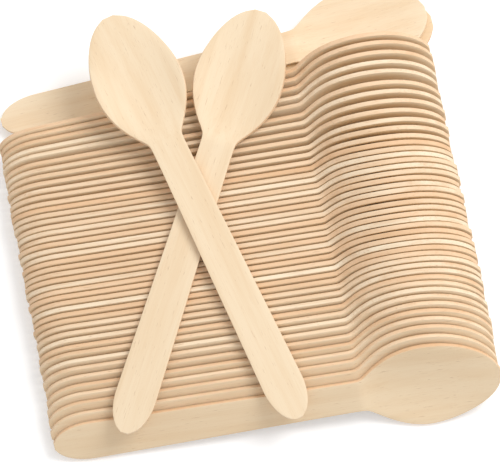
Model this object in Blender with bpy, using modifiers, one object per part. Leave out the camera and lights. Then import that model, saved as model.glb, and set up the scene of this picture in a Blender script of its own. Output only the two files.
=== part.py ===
"""Wooden cutlery pack: forty-nine birch veneer spoons, loose, in the order they are shown in.

Forty-five spoons stand on their long edges in one row and lean back against each other. Two have
dropped flat behind the row, and two lie crossed on top of it. Each spoon is one piece: an outline
stamped from a sheet of veneer, with the bowl pressed hollow.

Frame: metres, +Z up. The spoons lie along X with their bowls at +X, the front of the row is at -Y,
and the origin is on the table under the middle of the pack.
"""

import math
import random

import bmesh
import bpy
import numpy as np
from mathutils import Matrix, Vector

# Sizes of one spoon
LENGTH = 0.160
THICKNESS = 0.0016
BOWL_WIDTH = 0.0316
BOWL_WIDEST_AT = 0.0258  # from the bowl's tip
TIP_FULLNESS = 1.75  # 2 would be half an ellipse, less is more pointed
NECK_AT = 0.0485  # from the bowl's tip
NECK_WIDTH = 0.0119
SHOULDER_BEND = 2.15
NECK_FILLET = 0.0006
HANDLE_WIDTH = 0.0147
HANDLE_END_ROUND = 0.0135  # length of the rounded end
DISH_DEPTH = 0.0027
DISH_LENGTH = 0.0500  # from the bowl's tip to where the hollow runs out in the neck
DISH_HEEL = 1.6  # the hollow falls slowly from the tip and steeply from the neck
DISH_TOE = 0.9
END_CHORD = 0.00025  # the facet that closes each round end is cut this far from it

# Facets of one spoon: rows along the bowl, its shoulder and the handle's end, and columns across
TIP_ROWS = 6
SHOULDER_ROWS = 6
END_ROWS = 4
COLUMNS = 4

# The row
ROW_COUNT = 45
GAP = 0.0003  # between spoons that touch
LOOSENESS = 0.00012  # how much more than that two neighbours may lie apart
LEAN_FRONT = 46.5  # degrees back from upright, of the first spoon
LEAN_MIDDLE = 9.4
LEAN_REAR = 25.4
FRONT_FAN = 20  # spoons over which the front ones straighten up
FRONT_FAN_BEND = 1.6
REAR_FAN_FROM = 32
REAR_FAN_TO = 44
LEAN_SCATTER = 0.22
TURN_FRONT = -1.6  # degrees about Z, of the first spoon
TURN_REAR = 3.0
TURN_REAR_FROM = 33
TURN_SCATTER = 0.05
SHIFT_FRONT = 0.0035  # along X, of the first spoon
SHIFT_REAR = -0.0036
SHIFT_SCATTER = 0.0004
WIDE_GAPS = {37: 0.0002, 40: 0.0004, 42: 0.0003}  # more again, behind these spoons
SEED = 7

# The two spoons that have dropped flat behind the row: turn in degrees and place along X
FALLEN_LOWER_TURN = 5.6
FALLEN_LOWER_SHIFT = -0.0010
FALLEN_UPPER_TURN = 7.1
FALLEN_UPPER_SHIFT = -0.0026
FALLEN_UPPER_BACK = 0.0010  # how far the upper one lies behind the lower one's place

# The two spoons crossed on top: middle of each in X and Y from the middle of the row, and degrees
CROSSED_LOWER_AT = (-0.0168, 0.0113)
CROSSED_LOWER_TURN = 65.1
CROSSED_LOWER_RISE = 3.6
CROSSED_UPPER_AT = (-0.0134, 0.0116)
CROSSED_UPPER_TURN = 108.0
CROSSED_UPPER_RISE = 4.6

COLLECTION_NAME = "wooden_cutlery_pack"
BIRCH_TONES = [(0.80, 0.62, 0.42), (0.86, 0.70, 0.50), (0.83, 0.64, 0.45)]


def clear_scene():
    for item in list(bpy.data.objects):
        bpy.data.objects.remove(item, do_unlink=True)


def half_width(from_tip):
    """Half the spoon's width at each distance from the bowl's tip."""
    from_tip = np.clip(from_tip, END_CHORD, LENGTH - END_CHORD)
    bowl, neck, handle = BOWL_WIDTH / 2, NECK_WIDTH / 2, HANDLE_WIDTH / 2
    to_widest = np.clip(1 - from_tip / BOWL_WIDEST_AT, 0, 1)
    tip = bowl * np.sqrt(1 - to_widest**TIP_FULLNESS)
    down_shoulder = np.clip(from_tip - BOWL_WIDEST_AT, 0, None) / (NECK_AT - BOWL_WIDEST_AT)
    shoulder = bowl - (bowl - neck) * down_shoulder**SHOULDER_BEND
    end_from = LENGTH - HANDLE_END_ROUND
    taper = neck + (handle - neck) * (from_tip - NECK_AT) / (end_from - NECK_AT)
    body = (shoulder + taper + np.sqrt((shoulder - taper) ** 2 + 4 * NECK_FILLET**2)) / 2
    past = np.clip((from_tip - end_from) / HANDLE_END_ROUND, 0, 1)
    rounded_end = handle * np.sqrt(1 - past**2)
    body = np.where(from_tip > end_from, rounded_end, body)
    return np.where(from_tip < BOWL_WIDEST_AT, tip, body)


def dish(from_tip, across):
    """Depth of the pressed hollow below the handle's plane."""
    along = np.clip(from_tip / DISH_LENGTH, 0, 1)
    deepest = DISH_HEEL / (DISH_HEEL + DISH_TOE)
    peak = deepest**DISH_HEEL * (1 - deepest) ** DISH_TOE
    lengthwise = along**DISH_HEEL * (1 - along) ** DISH_TOE / peak
    crosswise = np.clip(1 - (across / (BOWL_WIDTH / 2)) ** 2, 0, 1)
    return DISH_DEPTH * lengthwise * crosswise


def row_stations():
    """Distances from the bowl's tip of the rows of points, closer together where the outline turns."""
    quarter = math.pi / 2
    tip = [BOWL_WIDEST_AT * (1 - math.cos(quarter * k / TIP_ROWS)) for k in range(TIP_ROWS)]
    reach = DISH_LENGTH - BOWL_WIDEST_AT
    shoulder = [BOWL_WIDEST_AT + reach * math.sin(quarter * k / SHOULDER_ROWS) for k in range(SHOULDER_ROWS + 1)]
    end_from = LENGTH - HANDLE_END_ROUND
    end = [end_from + HANDLE_END_ROUND * math.sin(quarter * k / END_ROWS) for k in range(END_ROWS + 1)]
    return tip + shoulder + end


def make_blank():
    """One spoon: its middle at the origin, bowl at +X, upright on its long edge, hollow side to -Y."""
    stations = row_stations()
    rows = len(stations) - 1
    bpy.ops.mesh.primitive_grid_add(x_subdivisions=rows, y_subdivisions=COLUMNS, size=2)
    sheet = bpy.context.object
    for vertex in sheet.data.vertices:
        row = round((vertex.co.x + 1) / 2 * rows)
        from_tip = stations[rows - row]
        across = vertex.co.y * float(half_width(np.array(from_tip)))
        depth = float(dish(np.array(from_tip), np.array(across)))
        vertex.co = (LENGTH / 2 - from_tip, depth, across)
    solidify = sheet.modifiers.new("veneer", "SOLIDIFY")
    solidify.thickness = THICKNESS
    solidify.offset = -1
    evaluated = sheet.evaluated_get(bpy.context.evaluated_depsgraph_get())
    mesh = bpy.data.meshes.new_from_object(evaluated)
    bpy.data.objects.remove(sheet, do_unlink=True)
    flatten_handle(mesh)
    mesh.name = "spoon_blank"
    return mesh


def flatten_handle(mesh):
    """The handle's two faces are plain flat ones, so they are left as one polygon each."""
    work = bmesh.new()
    work.from_mesh(mesh)
    bmesh.ops.dissolve_limit(
        work,
        angle_limit=math.radians(0.05),
        verts=work.verts[:],
        edges=work.edges[:],
        delimit={"NORMAL"},
    )
    bmesh.ops.recalc_face_normals(work, faces=work.faces[:])
    work.to_mesh(mesh)
    work.free()


def make_tones():
    """Birch in three close tones, as sheets from different logs have."""
    tones = []
    for number, colour in enumerate(BIRCH_TONES, 1):
        tone = bpy.data.materials.new(f"birch_veneer_{number}")
        tone.use_nodes = True
        shader = tone.node_tree.nodes["Principled BSDF"]
        shader.inputs["Base Color"].default_value = (*colour, 1)
        shader.inputs["Roughness"].default_value = 0.62
        shader.inputs["Metallic"].default_value = 0
        tones.append(tone)
    return tones


def sample_faces():
    """Points all over the front and the back face of the blank, and along their edges."""
    from_tip = np.concatenate([np.linspace(0, DISH_LENGTH, 61), np.linspace(DISH_LENGTH, LENGTH, 81)[1:]])
    share = np.linspace(-1, 1, 25)
    along, part = np.meshgrid(from_tip, share, indexing="ij")
    across = part * half_width(along)
    depth = dish(along, across)
    x = LENGTH / 2 - along
    front = np.stack([x, depth, across], -1).reshape(-1, 3)
    back = np.stack([x, depth + THICKNESS, across], -1).reshape(-1, 3)
    return front, back


def in_world(matrix, points):
    turn = np.array(matrix.to_3x3())
    return points @ turn.T + np.array(matrix.translation)


def lack_behind(host, points):
    """How much too near the points are that should lie behind the host spoon's back face."""
    x, y, z = in_world(host.inverted(), points).T
    over = np.abs(z) < half_width(LENGTH / 2 - x)
    over &= np.abs(x) < LENGTH / 2
    if not over.any():
        return -math.inf
    return float((THICKNESS + GAP + dish(LENGTH / 2 - x, z) - y)[over].max())


def lack_before(host, points):
    """The same for points that should lie before the host spoon's front face."""
    x, y, z = in_world(host.inverted(), points).T
    over = np.abs(z) < half_width(LENGTH / 2 - x)
    over &= np.abs(x) < LENGTH / 2
    if not over.any():
        return -math.inf
    return float((GAP + y - dish(LENGTH / 2 - x, z))[over].max())


def foot_tilt():
    """Angle in the spoon's own plane at which its bowl and its handle's end both touch the table."""
    front, _ = sample_faces()
    bowl = front[front[:, 0] > 0]
    handle = front[front[:, 0] < 0]
    low, high = 0.0, math.radians(10)
    for _ in range(40):
        tilt = (low + high) / 2
        bowl_low = (bowl[:, 0] * math.sin(tilt) + bowl[:, 2] * math.cos(tilt)).min()
        handle_low = (handle[:, 0] * math.sin(tilt) + handle[:, 2] * math.cos(tilt)).min()
        low, high = (tilt, high) if bowl_low < handle_low else (low, tilt)
    return tilt


def seated(matrix, faces):
    """The same place, raised or lowered until the spoon's lowest point is on the table."""
    lowest = min(in_world(matrix, points)[:, 2].min() for points in faces)
    return Matrix.Translation((0, 0, -lowest)) @ matrix


def ease(share):
    share = min(max(share, 0), 1)
    return (1 - math.cos(math.pi * share)) / 2


def lean_of(number):
    front_share = max(FRONT_FAN - number, 0) / (FRONT_FAN - 1)
    rear_share = (number - REAR_FAN_FROM) / (REAR_FAN_TO - REAR_FAN_FROM)
    front = (LEAN_FRONT - LEAN_MIDDLE) * front_share**FRONT_FAN_BEND
    return LEAN_MIDDLE + front + (LEAN_REAR - LEAN_MIDDLE) * ease(rear_share)


def turn_of(number):
    front_share = max(FRONT_FAN - number, 0) / (FRONT_FAN - 1)
    rear_share = max(number - TURN_REAR_FROM, 0) / (ROW_COUNT - TURN_REAR_FROM)
    return TURN_FRONT * front_share + TURN_REAR * rear_share**2


def standing(number, scatter, faces, tilt):
    """Spoon of the row, leaning and turned, with its foot on the table at Y = 0."""
    lean = math.radians(lean_of(number) + scatter.uniform(-LEAN_SCATTER, LEAN_SCATTER))
    turn = math.radians(turn_of(number) + scatter.uniform(-TURN_SCATTER, TURN_SCATTER))
    along = (number - 1) / (ROW_COUNT - 1)
    shift = SHIFT_FRONT + (SHIFT_REAR - SHIFT_FRONT) * along
    shift += scatter.uniform(-SHIFT_SCATTER, SHIFT_SCATTER)
    front, _ = faces
    foot = -(front[:, 0] * math.sin(tilt) + front[:, 2] * math.cos(tilt)).min()
    matrix = (
        Matrix.Translation((shift, 0, 0))
        @ Matrix.Rotation(turn, 4, "Z")
        @ Matrix.Rotation(-lean, 4, "X")
        @ Matrix.Translation((0, 0, foot))
        @ Matrix.Rotation(-tilt, 4, "Y")
    )
    return seated(matrix, faces)


def slid_behind(ahead, matrix, faces, spare=0.0):
    """Slides a spoon along Y until it touches the one ahead of it, and leaves spare beyond that."""
    front, back = faces
    rate_ahead = ahead.to_3x3().col[1].y
    rate_own = matrix.to_3x3().col[1].y
    for _ in range(12):
        lack = lack_behind(ahead, in_world(matrix, front)) / rate_ahead
        if rate_own > 0.5:
            lack = max(lack, lack_before(matrix, in_world(ahead, back)) / rate_own)
        matrix = Matrix.Translation((0, max(lack, -0.02), 0)) @ matrix
    return Matrix.Translation((0, spare, 0)) @ matrix


def place_row(faces):
    scatter = random.Random(SEED)
    tilt = foot_tilt()
    row = [standing(1, scatter, faces, tilt)]
    for number in range(2, ROW_COUNT + 1):
        spare = WIDE_GAPS.get(number - 1, 0.0) + scatter.uniform(0, 2 * LOOSENESS)
        guess = standing(number, scatter, faces, tilt)
        guess = Matrix.Translation((0, row[-1].translation.y + THICKNESS, 0)) @ guess
        row.append(slid_behind(row[-1], guess, faces, spare))
    middle = sum(matrix.translation.y for matrix in row) / len(row)
    return [Matrix.Translation((0, -middle, 0)) @ matrix for matrix in row]


def lying(at, turn, rise, faces):
    """A spoon on its back, its hollow side up, its bowl end raised by rise."""
    matrix = (
        Matrix.Translation((at[0], at[1], 0))
        @ Matrix.Rotation(math.radians(turn), 4, "Z")
        @ Matrix.Rotation(-math.radians(rise), 4, "Y")
        @ Matrix.Rotation(-math.pi / 2, 4, "X")
    )
    return seated(matrix, faces)


def raised_over(below, matrix, faces):
    """Raises a lying spoon until it rests on the highest of the spoons below it."""
    front, back = faces
    rate = -matrix.to_3x3().col[1].z
    for _ in range(12):
        lack = max(lack_behind(matrix, in_world(other, side)) for other in below for side in faces)
        for other in below:
            rate_other = -other.to_3x3().col[1].z
            if rate_other > 0.5:
                lack = max(lack, lack_before(other, in_world(matrix, back)))
        matrix = Matrix.Translation((0, 0, lack / rate)) @ matrix
    return matrix


def place_fallen(last, faces):
    """Two spoons flat on their backs, with their near edges against the foot of the row's last one."""
    belly_rise = math.degrees(math.atan(DISH_DEPTH / (LENGTH - DISH_LENGTH)))
    back_of_row = last.translation.y + LENGTH / 4
    lower = lying((FALLEN_LOWER_SHIFT, back_of_row), FALLEN_LOWER_TURN, belly_rise, faces)
    lower = slid_behind(last, lower, faces)
    upper_at = (FALLEN_UPPER_SHIFT, lower.translation.y + FALLEN_UPPER_BACK)
    upper = lying(upper_at, FALLEN_UPPER_TURN, belly_rise, faces)
    upper = raised_over([lower], upper, faces)
    return upper, lower


def place_all():
    faces = sample_faces()
    row = place_row(faces)
    fallen_upper, fallen_lower = place_fallen(row[-1], faces)
    lower = lying(CROSSED_LOWER_AT, CROSSED_LOWER_TURN, CROSSED_LOWER_RISE, faces)
    lower = raised_over(row, lower, faces)
    upper = lying(CROSSED_UPPER_AT, CROSSED_UPPER_TURN, CROSSED_UPPER_RISE, faces)
    upper = raised_over(row + [lower], upper, faces)
    places = {f"row_spoon_{number:02d}": matrix for number, matrix in enumerate(row, 1)}
    places["fallen_spoon_upper"] = fallen_upper
    places["fallen_spoon_lower"] = fallen_lower
    places["crossed_spoon_lower"] = lower
    places["crossed_spoon_upper"] = upper
    return places


def build():
    clear_scene()
    collection = bpy.data.collections.new(COLLECTION_NAME)
    bpy.context.scene.collection.children.link(collection)
    mesh = make_blank()
    tones = make_tones()
    mesh.materials.append(tones[0])
    places = place_all()
    frame = bpy.data.objects.new("pack_middle", None)
    collection.objects.link(frame)
    corners = []
    for number, (name, matrix) in enumerate(places.items()):
        spoon = bpy.data.objects.new(name, mesh)
        collection.objects.link(spoon)
        spoon.parent = frame
        spoon.location = matrix.translation
        spoon.rotation_euler = matrix.to_euler()
        spoon.material_slots[0].link = "OBJECT"
        spoon.material_slots[0].material = tones[number % len(tones)]
        corners += [matrix @ vertex.co for vertex in mesh.vertices]
    low = Vector([min(corner[axis] for corner in corners) for axis in range(3)])
    high = Vector([max(corner[axis] for corner in corners) for axis in range(3)])
    frame.location = (-(low.x + high.x) / 2, -(low.y + high.y) / 2, -low.z)


build()
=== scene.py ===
# %% [markdown]
# # A pack of wooden cutlery
# Forty-nine birch spoons: forty-five on edge in a leaning row, two fallen flat behind it and two
# crossed on top. The script models one spoon with care and lays a copy of it in each spoon's place.

# %% Load the frame
import math
import random

import bmesh
import bpy
import numpy as np
from mathutils import Matrix, Vector


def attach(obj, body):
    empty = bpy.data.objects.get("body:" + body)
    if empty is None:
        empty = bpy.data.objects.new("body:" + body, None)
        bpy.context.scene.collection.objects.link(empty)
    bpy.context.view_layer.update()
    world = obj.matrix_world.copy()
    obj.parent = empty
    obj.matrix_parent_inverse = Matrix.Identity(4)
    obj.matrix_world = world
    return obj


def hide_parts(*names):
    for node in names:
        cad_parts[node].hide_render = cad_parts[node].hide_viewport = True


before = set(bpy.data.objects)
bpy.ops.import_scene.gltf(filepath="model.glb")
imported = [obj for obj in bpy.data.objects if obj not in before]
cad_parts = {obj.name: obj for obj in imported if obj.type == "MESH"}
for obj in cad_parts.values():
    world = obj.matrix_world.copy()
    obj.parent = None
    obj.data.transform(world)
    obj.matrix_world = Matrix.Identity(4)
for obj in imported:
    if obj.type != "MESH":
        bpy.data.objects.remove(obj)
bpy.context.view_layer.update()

print("spoons in the frame:", len(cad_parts))

# %% [markdown]
# ## The sizes of one spoon
# Such a spoon is stamped from a sheet of birch veneer, so a flat outline and one thickness say
# nearly all about it. A press then gives the bowl its hollow. The sizes are the frame's own, in metres.

# %% Sizes
LENGTH = 0.160
THICKNESS = 0.0016
BOWL_WIDTH = 0.0316
BOWL_WIDEST_AT = 0.0258
TIP_FULLNESS = 1.75
NECK_AT = 0.0485
NECK_WIDTH = 0.0119
SHOULDER_BEND = 2.15
NECK_FILLET = 0.0006
HANDLE_WIDTH = 0.0147
HANDLE_END_ROUND = 0.0135
DISH_DEPTH = 0.0027
DISH_LENGTH = 0.0500
DISH_HEEL = 1.6
DISH_TOE = 0.9
END_CHORD = 0.00025
EDGE_ROUNDING = 0.00014

# %% [markdown]
# ## Outline and hollow as formulas
# The outline could be traced point by point, but a few curves joined end to end stay smooth however
# finely they are cut. All distances are counted from the bowl's tip.

# %% Outline and hollow
def half_width(from_tip):
    """Half the spoon's width at a distance from the bowl's tip."""
    from_tip = min(max(from_tip, END_CHORD), LENGTH - END_CHORD)
    bowl, neck, handle = BOWL_WIDTH / 2, NECK_WIDTH / 2, HANDLE_WIDTH / 2
    if from_tip < BOWL_WIDEST_AT:
        return bowl * math.sqrt(1 - (1 - from_tip / BOWL_WIDEST_AT) ** TIP_FULLNESS)
    end_from = LENGTH - HANDLE_END_ROUND
    if from_tip > end_from:
        return handle * math.sqrt(1 - ((from_tip - end_from) / HANDLE_END_ROUND) ** 2)
    down_shoulder = (from_tip - BOWL_WIDEST_AT) / (NECK_AT - BOWL_WIDEST_AT)
    shoulder = bowl - (bowl - neck) * down_shoulder**SHOULDER_BEND
    taper = neck + (handle - neck) * (from_tip - NECK_AT) / (end_from - NECK_AT)
    return (shoulder + taper + math.hypot(shoulder - taper, 2 * NECK_FILLET)) / 2


def hollow(from_tip, across):
    """Depth of the pressed hollow."""
    along = min(max(from_tip / DISH_LENGTH, 0), 1)
    deepest = DISH_HEEL / (DISH_HEEL + DISH_TOE)
    peak = deepest**DISH_HEEL * (1 - deepest) ** DISH_TOE
    lengthwise = along**DISH_HEEL * (1 - along) ** DISH_TOE / peak
    return DISH_DEPTH * lengthwise * max(1 - (across / (BOWL_WIDTH / 2)) ** 2, 0)


print("bowl and handle widths:", 2 * half_width(BOWL_WIDEST_AT), round(2 * half_width(0.146), 4))

# %% [markdown]
# ## Where the sheet is cut across
# A grid with even rows would need hundreds of them to follow the round ends. Rows that crowd
# together where the outline turns, and spread out along the straight handle, need under a hundred.

# %% Rows along the spoon
TIP_ROWS, SHOULDER_ROWS, HANDLE_ROWS, END_ROWS = 14, 20, 18, 12
COLUMNS = 12
PAST_HOLLOW = 0.004  # how far along the neck the rows stay close together
QUARTER = math.pi / 2
end_from = LENGTH - HANDLE_END_ROUND
# The row next to each round end is left out, as it would lie nearer than the edge's rounding.
tip = [BOWL_WIDEST_AT * (1 - math.cos(QUARTER * k / TIP_ROWS)) for k in range(TIP_ROWS) if k != 1]
reach = DISH_LENGTH + PAST_HOLLOW - BOWL_WIDEST_AT
shoulder = [BOWL_WIDEST_AT + reach * k / SHOULDER_ROWS for k in range(SHOULDER_ROWS)]
handle_from = shoulder[0] + reach
handle = [handle_from + (end_from - handle_from) * k / HANDLE_ROWS for k in range(HANDLE_ROWS)]
end = [end_from + HANDLE_END_ROUND * math.sin(QUARTER * k / END_ROWS)
       for k in range(END_ROWS + 1) if k != END_ROWS - 1]
stations = tip + shoulder + handle + end
print("rows across the sheet:", len(stations))

# %% [markdown]
# ## Stamping the blank
# The sheet is a grid. In edit mode each row is picked in turn, moved to its place along the spoon and
# scaled across to the outline's width, just as one would do by hand with G and S.

# %% Stamp the outline
GRID_SIDE = 2  # so that half of it is 1, and a row is scaled straight to its half width
bpy.ops.object.select_all(action="DESELECT")
last_row = len(stations) - 1
bpy.ops.mesh.primitive_grid_add(x_subdivisions=last_row, y_subdivisions=COLUMNS, size=GRID_SIDE)
blank = bpy.context.object
blank.name = "spoon_blank"
row_of = [
    round((vertex.co.x + GRID_SIDE / 2) / GRID_SIDE * last_row) for vertex in blank.data.vertices
]

bpy.ops.object.mode_set(mode="EDIT")
bpy.ops.mesh.select_mode(type="VERT")
for row in range(last_row + 1):
    edit = bmesh.from_edit_mesh(blank.data)
    edit.verts.ensure_lookup_table()
    for vertex in edit.verts:
        vertex.select = row_of[vertex.index] == row
    edit.select_flush_mode()
    bmesh.update_edit_mesh(blank.data)
    from_tip = stations[last_row - row]
    place_now = GRID_SIDE * row / last_row - GRID_SIDE / 2
    bpy.ops.transform.translate(value=(LENGTH / 2 - from_tip - place_now, 0, 0))
    bpy.ops.transform.resize(value=(1, half_width(from_tip), 1))
print("blank, mm:", [round(1000 * side, 2) for side in blank.dimensions])

# %% [markdown]
# ## Pressing the bowl
# The hollow is shallow, under 3 mm, and runs out in the neck. A die presses each point of the bowl
# down by its own depth, which the formula gives better than any one move of the mesh would.

# %% Press the hollow
edit = bmesh.from_edit_mesh(blank.data)
for vertex in edit.verts:
    vertex.co.z -= hollow(LENGTH / 2 - vertex.co.x, vertex.co.y)
bmesh.update_edit_mesh(blank.data)
bpy.ops.object.mode_set(mode="OBJECT")
print("deepest point, mm:", round(1000 * min(vertex.co.z for vertex in blank.data.vertices), 2))

# %% [markdown]
# ## Thickness and a broken edge
# Solidify gives the veneer its thickness and puts the cut edge in a material slot of its own. The
# tumbling that polishes real spoons rounds their edges a little, which a narrow bevel does here.

# %% Thickness and edges
SHARP_FROM = math.radians(50)  # edges this sharp are rounded
SMOOTH_UP_TO = math.radians(35)


def new_material(name):
    """A material with nothing in it yet but its shader."""
    material = bpy.data.materials.new(name)
    material.use_nodes = True
    return material


birch = new_material("birch_veneer_face")
cut_edge = new_material("birch_cut_edge")
blank.data.materials.append(birch)
blank.data.materials.append(cut_edge)

veneer = blank.modifiers.new("veneer", "SOLIDIFY")
veneer.thickness = THICKNESS
veneer.offset = -1
veneer.material_offset_rim = 1
bpy.ops.object.modifier_apply(modifier="veneer")
tumbled = blank.modifiers.new("tumbled", "BEVEL")
tumbled.width = EDGE_ROUNDING
tumbled.segments = 2
tumbled.limit_method = "ANGLE"
tumbled.angle_limit = SHARP_FROM
bpy.ops.object.modifier_apply(modifier="tumbled")
bpy.ops.object.shade_smooth_by_angle(angle=SMOOTH_UP_TO)
print("faces in one spoon:", len(blank.data.polygons))

# %% [markdown]
# ## Finding each spoon's place
# The frame holds a plain spoon wherever one lies. Its longest axis runs from the middle of its round
# end to the middle of its tip, its largest triangle lies in the handle's flat face, and the hollow
# tells the front face from the back. Those three facts are a full place for a copy.

# %% Read a place from the frame
END_BAND = 0.00005  # points this near the furthest one belong to the end's small flat
SIDE_BAND = 0.0003


def place_of(node):
    """Matrix that carries the blank onto a CAD spoon."""
    points = np.array([tuple(vertex.co) for vertex in node.data.vertices])
    centred = points - points.mean(0)
    long_axis = np.linalg.svd(centred, full_matrices=False)[2][0]
    along = centred @ long_axis
    tip_middle = np.unique(points[along > along.max() - END_BAND].round(7), axis=0).mean(0)
    end_middle = np.unique(points[along < along.min() + END_BAND].round(7), axis=0).mean(0)
    middle = (tip_middle + end_middle) / 2
    axis = (tip_middle - end_middle) / np.linalg.norm(tip_middle - end_middle)
    normal = np.array(max(node.data.polygons, key=lambda face: face.area).normal)
    side = np.cross(normal, axis)
    apart = np.abs((points - middle) @ side)
    widest = points[apart > apart.max() - SIDE_BAND].mean(0)
    if (widest - middle) @ axis < 0:
        axis = -axis
    height = (points - middle) @ normal
    if abs(height.max()) > abs(height.min()):
        normal = -normal
    normal = normal - axis * (normal @ axis)
    normal /= np.linalg.norm(normal)
    side = np.cross(normal, axis)
    origin = middle + normal * THICKNESS / 2
    return Matrix([(*axis, 0), (*side, 0), (*normal, 0), (*origin, 1)]).transposed()


places = {name: place_of(node) for name, node in sorted(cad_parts.items())}
print("first spoon of the row is at", [round(part, 4) for part in places["row_spoon_01"].translation])

# %% [markdown]
# ## Forty-nine copies
# Each copy has a mesh of its own with its place in it. Two attributes go along: `grain` holds where
# a point is on its own sheet of wood, moved by a chance amount so that no two spoons show the same
# figure, and `tone` holds how warm that sheet is.

# %% Lay the copies
GRAIN_SEED = 11
LOG_SIDE = 9  # metres of wood that the spoons are cut from, far more than they need
WARMTH_SPREAD = (1.3, 1.7)  # most spoons are near the middle, a few are quite pale or warm
chance = random.Random(GRAIN_SEED)
blank_points = np.array([tuple(vertex.co) for vertex in blank.data.vertices])
spoons = {}
for name, place in places.items():
    mesh = blank.data.copy()
    mesh.name = f"{name}_veneer"
    sheet_place = np.array([chance.uniform(0, LOG_SIDE) for _ in range(3)])
    grain = mesh.attributes.new("grain", "FLOAT_VECTOR", "POINT")
    grain.data.foreach_set("vector", (blank_points + sheet_place).astype(np.float32).ravel())
    tone = mesh.attributes.new("tone", "FLOAT", "POINT")
    warm = chance.betavariate(*WARMTH_SPREAD)
    tone.data.foreach_set("value", np.full(len(blank_points), warm, np.float32))
    mesh.transform(place)
    spoon = bpy.data.objects.new(f"{name}_veneer", mesh)
    bpy.context.scene.collection.objects.link(spoon)
    spoons[name] = spoon
bpy.data.objects.remove(blank, do_unlink=True)
quads = sum(len(spoon.data.polygons) for spoon in spoons.values())
print("spoons laid:", len(spoons), "faces in all:", quads)

# %% [markdown]
# ## Colours
# Colours are written as the hex values that a picture shows, and one function turns them into the
# linear numbers that shaders reckon with.

# %% Colour and node helpers
def linear(hex_colour):
    """Linear RGBA from an sRGB hex colour."""
    parts = [int(hex_colour[k:k + 2], 16) / 255 for k in (1, 3, 5)]
    return (*[p / 12.92 if p <= 0.04045 else ((p + 0.055) / 1.055) ** 2.4 for p in parts], 1)


def add_node(material, kind, settings=None, **inputs):
    """Adds a node, sets its options, and fills or links its inputs, by name or as i and a number."""
    tree = material.node_tree
    node = tree.nodes.new(kind)
    for key, value in (settings or {}).items():
        setattr(node, key, value)
    for key, value in inputs.items():
        by_number = key[0] == "i" and key[1:].isdigit()
        socket = node.inputs[int(key[1:]) if by_number else key]
        if isinstance(value, bpy.types.NodeSocket):
            tree.links.new(value, socket)
        else:
            socket.default_value = value
    return node


# %% [markdown]
# ## Birch
# Birch is pale, with soft lengthwise clouds, fine fibre lines and short brown flecks. Noise that is
# stretched along the spoon gives all three: a wide and soft one, a thin one, and a sparse sharp one.
# The cut edge is the same wood across its layers, so it shares the function with other strengths.

# %% The birch materials
# How many times a metre the noise repeats: along the spoon, across it and through it
CLOUDS = (14, 210, 210)
FIBRES = (70, 2400, 2400)
FLECKS = (240, 2600, 1500)


def streaks(material, scale, detail, roughness=0.55):
    """Noise on the spoon's own sheet of wood, stretched lengthwise."""
    sheet = add_node(material, "ShaderNodeAttribute", {"attribute_name": "grain"})
    stretched = add_node(material, "ShaderNodeMapping", Vector=sheet.outputs["Vector"], Scale=scale)
    noise = add_node(material, "ShaderNodeTexNoise", Vector=stretched.outputs["Vector"],
                     Scale=1.0, Detail=detail, Roughness=roughness)
    return noise.outputs["Fac"]


def between(material, value, low, high):
    """0 up to low, 1 from high on, and even in between."""
    ranged = add_node(material, "ShaderNodeMapRange", Value=value, **{"From Min": low, "From Max": high})
    return ranged.outputs["Result"]


def share(material, value, amount):
    """A value times a fixed amount."""
    return add_node(material, "ShaderNodeMath", {"operation": "MULTIPLY"}, i0=value, i1=amount).outputs[0]


def mixed(material, factor, first, second):
    """One colour over another."""
    mix = add_node(material, "ShaderNodeMix", {"data_type": "RGBA"}, i0=factor, i6=first, i7=second)
    return mix.outputs[2]


def make_birch(material, pale, warm, cloud, fleck, warm_share, cloud_share, fleck_share, line_share):
    """Fills in one birch finish: four colours, and how strongly each of the figures shows."""
    shader = material.node_tree.nodes["Principled BSDF"]
    tone = add_node(material, "ShaderNodeAttribute", {"attribute_name": "tone"}).outputs["Fac"]
    clouds = between(material, streaks(material, CLOUDS, 4), 0.42, 0.68)
    lines = streaks(material, FIBRES, 3, 0.6)
    flecks = between(material, streaks(material, FLECKS, 2), 0.66, 0.74)
    colour = mixed(material, share(material, tone, warm_share), linear(pale), linear(warm))
    colour = mixed(material, share(material, clouds, cloud_share), colour, linear(cloud))
    dark_lines = share(material, between(material, lines, 0.5, 0.72), line_share)
    colour = mixed(material, dark_lines, colour, linear(cloud))
    colour = mixed(material, share(material, flecks, fleck_share), colour, linear(fleck))
    fibres = add_node(material, "ShaderNodeBump", Strength=0.35, Distance=0.00006, Height=lines)
    gloss = add_node(material, "ShaderNodeMapRange", Value=lines, **{"To Min": 0.52, "To Max": 0.68})
    links = material.node_tree.links
    links.new(colour, shader.inputs["Base Color"])
    links.new(gloss.outputs["Result"], shader.inputs["Roughness"])
    links.new(fibres.outputs["Normal"], shader.inputs["Normal"])
    shader.inputs["Specular IOR Level"].default_value = 0.35


make_birch(
    birch, pale="#F6E1C2", warm="#F0D3AB", cloud="#E6C499", fleck="#B08050",
    warm_share=0.6, cloud_share=0.42, fleck_share=0.38, line_share=0.26,
)
make_birch(
    cut_edge, pale="#FBE8CB", warm="#EDC196", cloud="#DCB083", fleck="#A07040",
    warm_share=1.0, cloud_share=0.5, fleck_share=0.3, line_share=0.45,
)
print("nodes in the face's material:", len(birch.node_tree.nodes))

# %% [markdown]
# ## Telling the frame what the pieces are
# Each spoon rides on the pack's one body and stands for one plain spoon of the frame.

# %% Ride, replace
for name, spoon in spoons.items():
    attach(spoon, "root")
    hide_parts(name)
print("pieces riding on the pack:", len(spoons))

# %% [markdown]
# ## A white floor that keeps its shadow
# A photo's white table is lit past white. Here the floor is a pale diffuse sheet, and what the
# camera sees of it is lifted by a touch of its own light, so that only the shadow stays grey.

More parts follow.
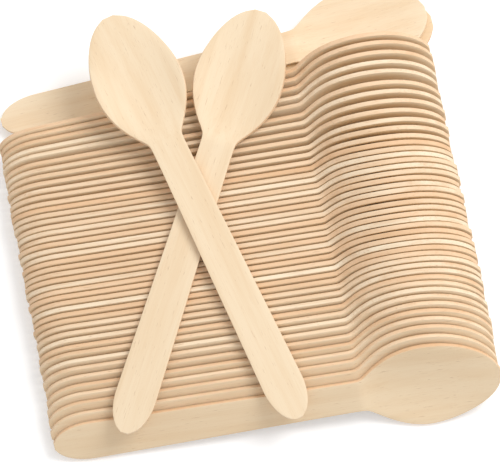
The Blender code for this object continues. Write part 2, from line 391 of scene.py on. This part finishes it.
# %% Floor and world
FLOOR_SIDE = 6
FLOOR_LIFT = 0.28
SKY_STRENGTH = 0.66
bpy.ops.object.select_all(action="DESELECT")
bpy.ops.mesh.primitive_plane_add(size=FLOOR_SIDE)
floor = bpy.context.object
floor.name = "table_top"
paper = new_material("white_table")
floor.data.materials.append(paper)
paper_shader = paper.node_tree.nodes["Principled BSDF"]
paper_shader.inputs["Base Color"].default_value = linear("#F4F4F4")
paper_shader.inputs["Roughness"].default_value = 0.9
paper_shader.inputs["Emission Color"].default_value = (1, 1, 1, 1)
seen = add_node(paper, "ShaderNodeLightPath")
lift = share(paper, seen.outputs["Is Camera Ray"], FLOOR_LIFT)
paper.node_tree.links.new(lift, paper_shader.inputs["Emission Strength"])

world = bpy.data.worlds.new("studio")
bpy.context.scene.world = world
world.use_nodes = True
sky = world.node_tree.nodes["Background"]
sky.inputs["Color"].default_value = (1, 1, 1, 1)
ray = world.node_tree.nodes.new("ShaderNodeLightPath")
strength = world.node_tree.nodes.new("ShaderNodeMapRange")
strength.inputs["To Min"].default_value = SKY_STRENGTH
strength.inputs["To Max"].default_value = 1.0
world.node_tree.links.new(ray.outputs["Is Camera Ray"], strength.inputs["Value"])
world.node_tree.links.new(strength.outputs["Result"], sky.inputs["Strength"])
print("floor at z =", floor.location.z)

# %% [markdown]
# ## One soft lamp
# The photo's light comes from the upper right and leaves soft shadows at the left. One large area
# lamp there, with the pale world around it, gives that and keeps the wood at its own colour.

# %% Lamp
KEY_AT = Vector((0.62, 0.30, 0.95))
KEY_SIDE = 0.6
KEY_WATTS = 7.6
bpy.ops.object.light_add(type="AREA", location=KEY_AT)
key = bpy.context.object
key.name = "window"
key.data.size = KEY_SIDE
key.data.energy = KEY_WATTS
key.rotation_euler = (-KEY_AT).to_track_quat("-Z", "Y").to_euler()
print("lamp distance, m:", round(KEY_AT.length, 2))

# %% [markdown]
# ## The camera
# The photo looks down steeply from a good metre away, turned a little about its own axis. The
# focal length comes from how many pixels a millimetre of the pack covers.

# %% Camera
PHOTO_WIDTH = 500
SENSOR = 36
ELEVATION = math.radians(75)
ROLL = math.radians(7.5)
DISTANCE = 1.150
FOCAL_PIXELS = 3210
AIM = Vector((0.0026, -0.0052, 0.010))
camera_data = bpy.data.cameras.new("camera")
camera = bpy.data.objects.new("camera", camera_data)
bpy.context.scene.collection.objects.link(camera)
camera_data.sensor_width = SENSOR
camera_data.lens = FOCAL_PIXELS / PHOTO_WIDTH * SENSOR
back_off = Vector((0, -math.cos(ELEVATION), math.sin(ELEVATION))) * DISTANCE
turned = Matrix.Rotation(QUARTER - ELEVATION, 4, "X") @ Matrix.Rotation(-ROLL, 4, "Z")
camera.matrix_world = Matrix.Translation(AIM + back_off) @ turned
bpy.context.scene.camera = camera
print("lens, mm:", round(camera_data.lens))

# %% [markdown]
# ## Finish
# The view transform is Standard, so that colours come out as written.

# %% View
bpy.context.scene.view_settings.view_transform = "Standard"
